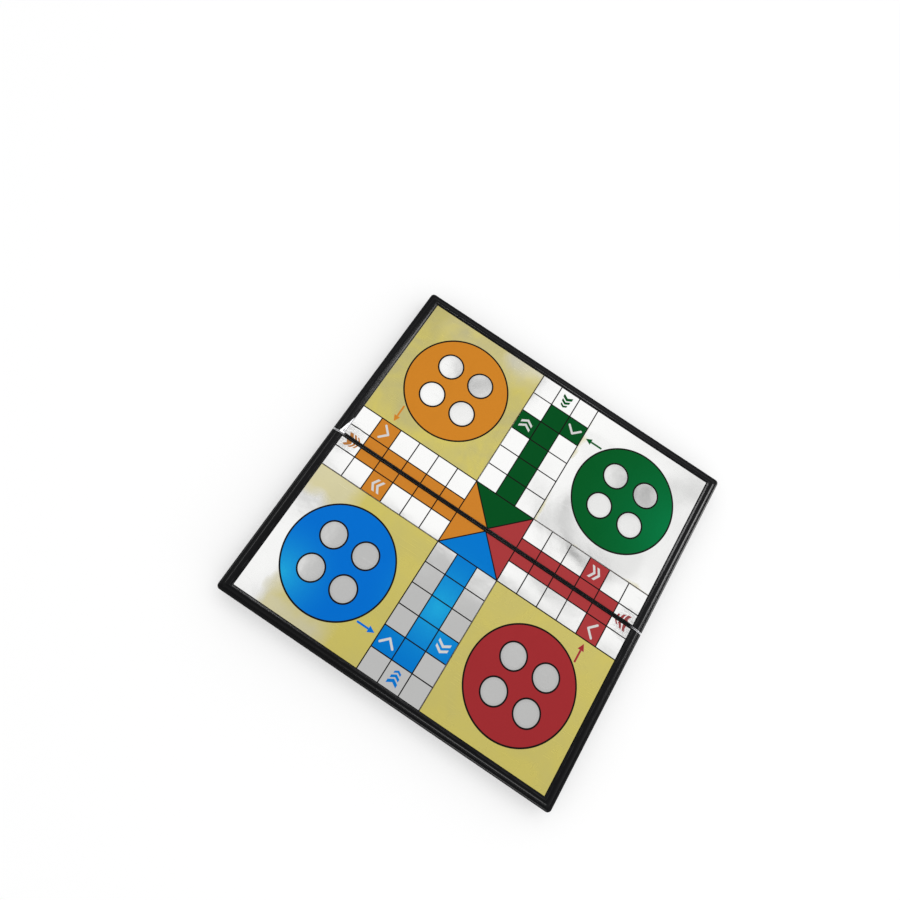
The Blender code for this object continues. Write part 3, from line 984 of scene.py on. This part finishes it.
def mark_tree():
    """Geometry nodes that set round ejector marks out in rows."""
    numbers = dict.fromkeys(("Radius", "Height", "Length", "Width"), "Float")
    counts = dict.fromkeys(("Along", "Across"), "Int")
    inputs = numbers | counts | {"Centre": "Vector", "Material": "Material"}
    tree, given, result = new_geometry_tree("ejector_marks", inputs)
    grid = tree.nodes.new("GeometryNodeMeshGrid")
    disc = tree.nodes.new("GeometryNodeMeshCylinder")
    disc.inputs["Vertices"].default_value = MARK_CORNERS
    spread = tree.nodes.new("GeometryNodeInstanceOnPoints")
    move = tree.nodes.new("GeometryNodeTransform")
    real = tree.nodes.new("GeometryNodeRealizeInstances")
    paint = tree.nodes.new("GeometryNodeSetMaterial")
    for source, target in (
        (given.outputs["Radius"], disc.inputs["Radius"]),
        (given.outputs["Height"], disc.inputs["Depth"]),
        (given.outputs["Along"], grid.inputs["Vertices X"]),
        (given.outputs["Across"], grid.inputs["Vertices Y"]),
        (given.outputs["Length"], grid.inputs["Size X"]),
        (given.outputs["Width"], grid.inputs["Size Y"]),
        (grid.outputs["Mesh"], spread.inputs["Points"]),
        (disc.outputs["Mesh"], spread.inputs["Instance"]),
        (spread.outputs["Instances"], move.inputs["Geometry"]),
        (given.outputs["Centre"], move.inputs["Translation"]),
        (move.outputs["Geometry"], real.inputs["Geometry"]),
        (real.outputs["Geometry"], paint.inputs["Geometry"]),
        (given.outputs["Material"], paint.inputs["Material"]),
        (paint.outputs["Geometry"], result.inputs["Geometry"]),
    ):
        tree.links.new(source, target)
    return tree


def ejector_marks(tree, name, side, material):
    """The low round marks that the mould's ejector pins leave in a hollow's ceiling."""
    low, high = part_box("label_orange_green")
    values = {
        "Radius": MARK_RADIUS,
        "Height": 2 * MARK_HEIGHT,
        "Along": MARKS_ALONG,
        "Across": MARKS_ACROSS,
        "Length": high.x - low.x - 2 * MARK_MARGIN,
        "Width": high.y - low.y - 2 * MARK_MARGIN,
        "Centre": (0, side * (low.y + high.y) / 2, HOLLOW_CEILING),
        "Material": material,
    }
    obj = mesh_object(name, bmesh.new(), material)
    add_tree(obj, "marks", tree, values)
    apply_modifiers(obj)
    smooth_by_angle(obj.data)
    return obj


def dress_halves():
    plastic = shell_plastic()
    foil = printed_foil(print_group())
    marks = mark_tree()
    shells = []
    for ending, body, side in HALVES:
        shell = softened_shell(f"shell_{ending}", f"moulded_shell_{ending}", side, plastic)
        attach(shell, body)
        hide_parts(f"shell_{ending}")
        shells.append(shell)
        sheet = foil_sheet(f"label_{ending}", f"foil_label_{ending}", side, foil, FOIL_SEED + side)
        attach(sheet, body)
        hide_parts(f"label_{ending}")
        row = ejector_marks(marks, f"ejector_marks_{ending}", side, plastic)
        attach(row, body)
    return shells


def finish_steel():
    """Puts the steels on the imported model's own pins and sheets, whose shapes stay as they are."""
    steels = {"hinge_pin": turned_steel(), "steel_sheet": rolled_steel()}
    for name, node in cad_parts.items():
        for start, steel in steels.items():
            if name.startswith(start):
                for place in node.material_slots:
                    place.material = steel


# Floor
FLOOR_SIZE = 12.0
FLOOR_GAP = 0.0002
FLOOR_INSET = 0.002
FLOOR_FADE = (0.55, 0.50)
FLOOR_WHITE = 0.65
FLOOR_GLOW = 0.38
FLOOR_ROUGHNESS = 0.9

# The studio as glossy surfaces see it: for each card or softbox, the sideways and upward-board slopes of the
# directions that it fills, each over the climb, its light, and the softness of its edges
STUDIO_LIGHT = 1.0
STUDIO_CARDS = (
    ((-0.600, 0.600, 0.140, 0.600), 1.17, 0.060),
    ((-0.600, 0.600, -0.600, 0.165), 0.59, 0.014),
    ((-0.600, -0.096, -0.100, 0.120), 1.12, 0.030),
    ((-0.600, 0.040, 0.402, 0.600), 0.46, 0.012),
    ((-0.050, -0.010, 0.344, 0.390), 0.48, 0.018),
    ((-0.020, 0.010, 0.310, 0.340), 0.97, 0.020),
    ((0.136, 0.176, 0.250, 0.325), 0.62, 0.030),
    ((0.240, 0.300, 0.262, 0.285), 0.84, 0.030),
    ((0.275, 0.330, 0.405, 0.450), 0.88, 0.030),
    ((0.190, 0.215, 0.355, 0.385), 0.82, 0.020),
    ((0.215, 0.262, 0.345, 0.395), 0.44, 0.022),
    ((0.168, 0.246, 0.226, 0.264), 0.34, 0.012),
)
CLOUD_BORDERS = (0.150, 0.360, 0.270, 0.460)
CLOUD_BORDER_SOFTNESS = 0.03
CLOUD_STEP = (0.50, 0.22)
CLOUD_DEPTH = 0.24
LEAST_CLIMB = 0.02
DIFFUSE_LIGHT = 0.86

# Softboxes that light everything: place, target, size and brightness
SOFTBOXES = {
    "overhead_softbox": ((0.10, 0.42, 1.05), (0.0, 0.05, 0.0), (0.9, 0.55), 1.1),
    "side_softbox": ((1.1, -0.25, 0.45), (0.0, 0.0, 0.0), (0.7, 0.4), 1.0),
}

# Lamps that light only the shells, for the light lines along the rims: place, target, size and brightness
RIM_LIGHTS = {
    "low_right_rim_light": ((1.12, 0.42, 0.42), (0.12, 0.06, 0.015), (0.36, 0.70), 27.0),
    "high_right_rim_light": ((0.033, 0.190, 0.297), (0.033, 0.190, 0.0), (0.048, 0.125), 34.0),
    "high_left_rim_light": ((-0.153, 0.214, 0.517), (-0.153, 0.214, 0.0), (0.068, 0.060), 50.0),
    "front_rim_light": ((0.300, -1.120, 0.520), (0.060, -0.124, 0.015), (0.40, 0.36), 16.0),
    "left_rim_light": ((-1.000, 0.040, 0.480), (-0.124, -0.060, 0.015), (0.35, 0.30), 9.0),
}


def reflected_light(tree):
    """The light that glossy surfaces reflect, by direction."""
    direction = tree.nodes.new("ShaderNodeTexCoord").outputs["Generated"]
    sideways, along, up = split_place(tree, direction)
    climb = up.most(LEAST_CLIMB)
    sideways, along = sideways / climb, along / climb
    light = STUDIO_LIGHT
    for borders, card_light, softness in STUDIO_CARDS:
        share = box_share(sideways, along, *borders, softness=softness)
        light = (1 - share) * light + share * card_light
    slopes = tree.nodes.new("ShaderNodeCombineXYZ")
    plug(tree, sideways, slopes.inputs["X"])
    plug(tree, along, slopes.inputs["Y"])
    cloud = noise(tree, slopes.outputs[0], *NOISES["studio_cloud"]).above(*CLOUD_STEP)
    cloud = cloud * box_share(sideways, along, *CLOUD_BORDERS, softness=CLOUD_BORDER_SOFTNESS)
    return light * (1 - cloud * CLOUD_DEPTH)


def add_world():
    world = bpy.data.worlds.new("studio")
    bpy.context.scene.world = world
    world.use_nodes = True
    tree = world.node_tree
    background = tree.nodes["Background"]
    background.inputs["Color"].default_value = (1, 1, 1, 1)
    path = tree.nodes.new("ShaderNodeLightPath")
    seen = Field(tree, path.outputs["Is Camera Ray"]).most(Field(tree, path.outputs["Is Transmission Ray"]))
    glossy = Field(tree, path.outputs["Is Glossy Ray"])
    strength = seen + glossy * reflected_light(tree) + (1 - seen.most(glossy)) * DIFFUSE_LIGHT
    plug(tree, strength, background.inputs["Strength"])


def under_share(tree, x, y):
    """1 on the floor right under the object, whose corners the floor's own mesh carries."""
    corners = []
    for label in ("low", "high"):
        corner = tree.nodes.new("ShaderNodeAttribute")
        corner.attribute_name = label
        corners.append(split_place(tree, corner.outputs["Vector"], "XY"))
    inside_x, inside_y = (
        (value - low).least(high - value).above(FLOOR_INSET, FLOOR_INSET)
        for value, low, high in zip((x, y), *corners)
    )
    return inside_x * inside_y


def let_through(tree, shader, share):
    """Lets light straight through a surface where the share is 1."""
    mixed = tree.nodes.new("ShaderNodeMixShader")
    plug(tree, share, mixed.inputs[0])
    tree.links.new(shader.outputs[0], mixed.inputs[1])
    tree.links.new(tree.nodes.new("ShaderNodeBsdfTransparent").outputs[0], mixed.inputs[2])
    tree.links.new(mixed.outputs[0], tree.nodes["Material Output"].inputs["Surface"])


def floor_material():
    """White floor that keeps the shadow near the object and fades to plain white far off.

    It is clear when seen from below, and right under the object it lets light through and has no glow.
    """
    material, tree, shader = new_material("white_floor")
    x, y = split_place(tree, object_place(tree), "XY")
    far = distance(x, y).above(*FLOOR_FADE)
    under = under_share(tree, x, y)
    seen = Field(tree, tree.nodes.new("ShaderNodeLightPath").outputs["Is Camera Ray"])
    white = mix_colour(tree, far, (FLOOR_WHITE,) * 3, (0.0, 0.0, 0.0))
    tree.links.new(white, shader.inputs["Base Color"])
    shader.inputs["Roughness"].default_value = FLOOR_ROUGHNESS
    shader.inputs["Specular IOR Level"].default_value = 0
    shader.inputs["Emission Color"].default_value = (1, 1, 1, 1)
    glow = (1 - under) * (far * (1 - FLOOR_GLOW) + FLOOR_GLOW) * seen
    plug(tree, glow, shader.inputs["Emission Strength"])
    back = Field(tree, tree.nodes.new("ShaderNodeNewGeometry").outputs["Backfacing"])
    let_through(tree, shader, back.most(under * (1 - seen)))
    return material


def box_round(tree, pieces):
    """The box round some pieces, wherever their bodies have moved them."""
    joined = tree.nodes.new("GeometryNodeJoinGeometry")
    for piece in pieces:
        source = tree.nodes.new("GeometryNodeObjectInfo")
        source.transform_space = "RELATIVE"
        source.inputs["Object"].default_value = piece
        tree.links.new(source.outputs["Geometry"], joined.inputs[0])
    box = tree.nodes.new("GeometryNodeBoundBox")
    tree.links.new(joined.outputs[0], box.inputs[0])
    return box


def floor_tree(shells):
    """Geometry nodes that lay the floor under the object's lowest point, so that no half sinks into it."""
    inputs = {"Size": "Float", "Gap": "Float", "Material": "Material"}
    tree, given, result = new_geometry_tree("floor_under_object", inputs)
    box = box_round(tree, shells)
    place = tree.nodes.new("ShaderNodeCombineXYZ")
    lowest = split_place(tree, box.outputs["Min"])[2]
    plug(tree, lowest - Field(tree, given.outputs["Gap"]), place.inputs["Z"])
    grid = tree.nodes.new("GeometryNodeMeshGrid")
    tree.links.new(given.outputs["Size"], grid.inputs["Size X"])
    tree.links.new(given.outputs["Size"], grid.inputs["Size Y"])
    move = tree.nodes.new("GeometryNodeTransform")
    tree.links.new(grid.outputs["Mesh"], move.inputs["Geometry"])
    tree.links.new(place.outputs[0], move.inputs["Translation"])
    geometry = move.outputs[0]
    for label, corner in (("low", "Min"), ("high", "Max")):
        store = tree.nodes.new("GeometryNodeStoreNamedAttribute")
        store.data_type = "FLOAT_VECTOR"
        store.inputs["Name"].default_value = label
        tree.links.new(geometry, store.inputs["Geometry"])
        tree.links.new(box.outputs[corner], store.inputs["Value"])
        geometry = store.outputs[0]
    paint = tree.nodes.new("GeometryNodeSetMaterial")
    tree.links.new(geometry, paint.inputs["Geometry"])
    tree.links.new(given.outputs["Material"], paint.inputs["Material"])
    tree.links.new(paint.outputs[0], result.inputs[0])
    return tree


def add_floor(shells):
    material = floor_material()
    floor = mesh_object("floor", bmesh.new(), material)
    values = {"Size": FLOOR_SIZE, "Gap": FLOOR_GAP, "Material": material}
    add_tree(floor, "under_object", floor_tree(shells), values)


def add_lamp(name, place, target, size, radiance, only):
    """A softbox of a given brightness, facing a point. One that lights only some pieces is reflected too."""
    data = bpy.data.lights.new(name, "AREA")
    data.shape = "RECTANGLE"
    data.size, data.size_y = size
    data.energy = radiance * math.pi * size[0] * size[1]
    lamp = bpy.data.objects.new(name, data)
    lamp.location = place
    lamp.rotation_euler = (Vector(place) - Vector(target)).to_track_quat("Z", "Y").to_euler()
    lamp.visible_camera = False
    lamp.visible_glossy = bool(only)
    bpy.context.scene.collection.objects.link(lamp)
    if only:
        lit = bpy.data.collections.new(f"lit_by_{name}")
        for piece in only:
            lit.objects.link(piece)
        lamp.light_linking.receiver_collection = lit


def add_lamps(shells):
    for lamps, only in ((SOFTBOXES, ()), (RIM_LIGHTS, shells)):
        for name, (place, target, size, radiance) in lamps.items():
            add_lamp(name, place, target, size, radiance, only)


def add_camera():
    data = bpy.data.cameras.new("camera")
    data.sensor_width = SENSOR
    data.lens = FOCAL_PIXELS / PHOTO_SIZE * SENSOR
    data.shift_x = (PHOTO_SIZE / 2 - CENTRE_PIXEL[0]) / PHOTO_SIZE
    data.shift_y = (CENTRE_PIXEL[1] - PHOTO_SIZE / 2) / PHOTO_SIZE
    data.clip_start = CLIP_START
    camera = bpy.data.objects.new("camera", data)
    label_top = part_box("label_orange_green")[1].z
    camera.location = Vector(CAMERA_PLACE) + Vector((0, 0, label_top))
    camera.rotation_euler = [math.radians(turn) for turn in CAMERA_TURN]
    bpy.context.scene.collection.objects.link(camera)
    bpy.context.scene.camera = camera


shells = dress_halves()
finish_steel()
add_world()
add_floor(shells)
add_lamps(shells)
add_camera()
bpy.context.scene.view_settings.view_transform = "Standard"
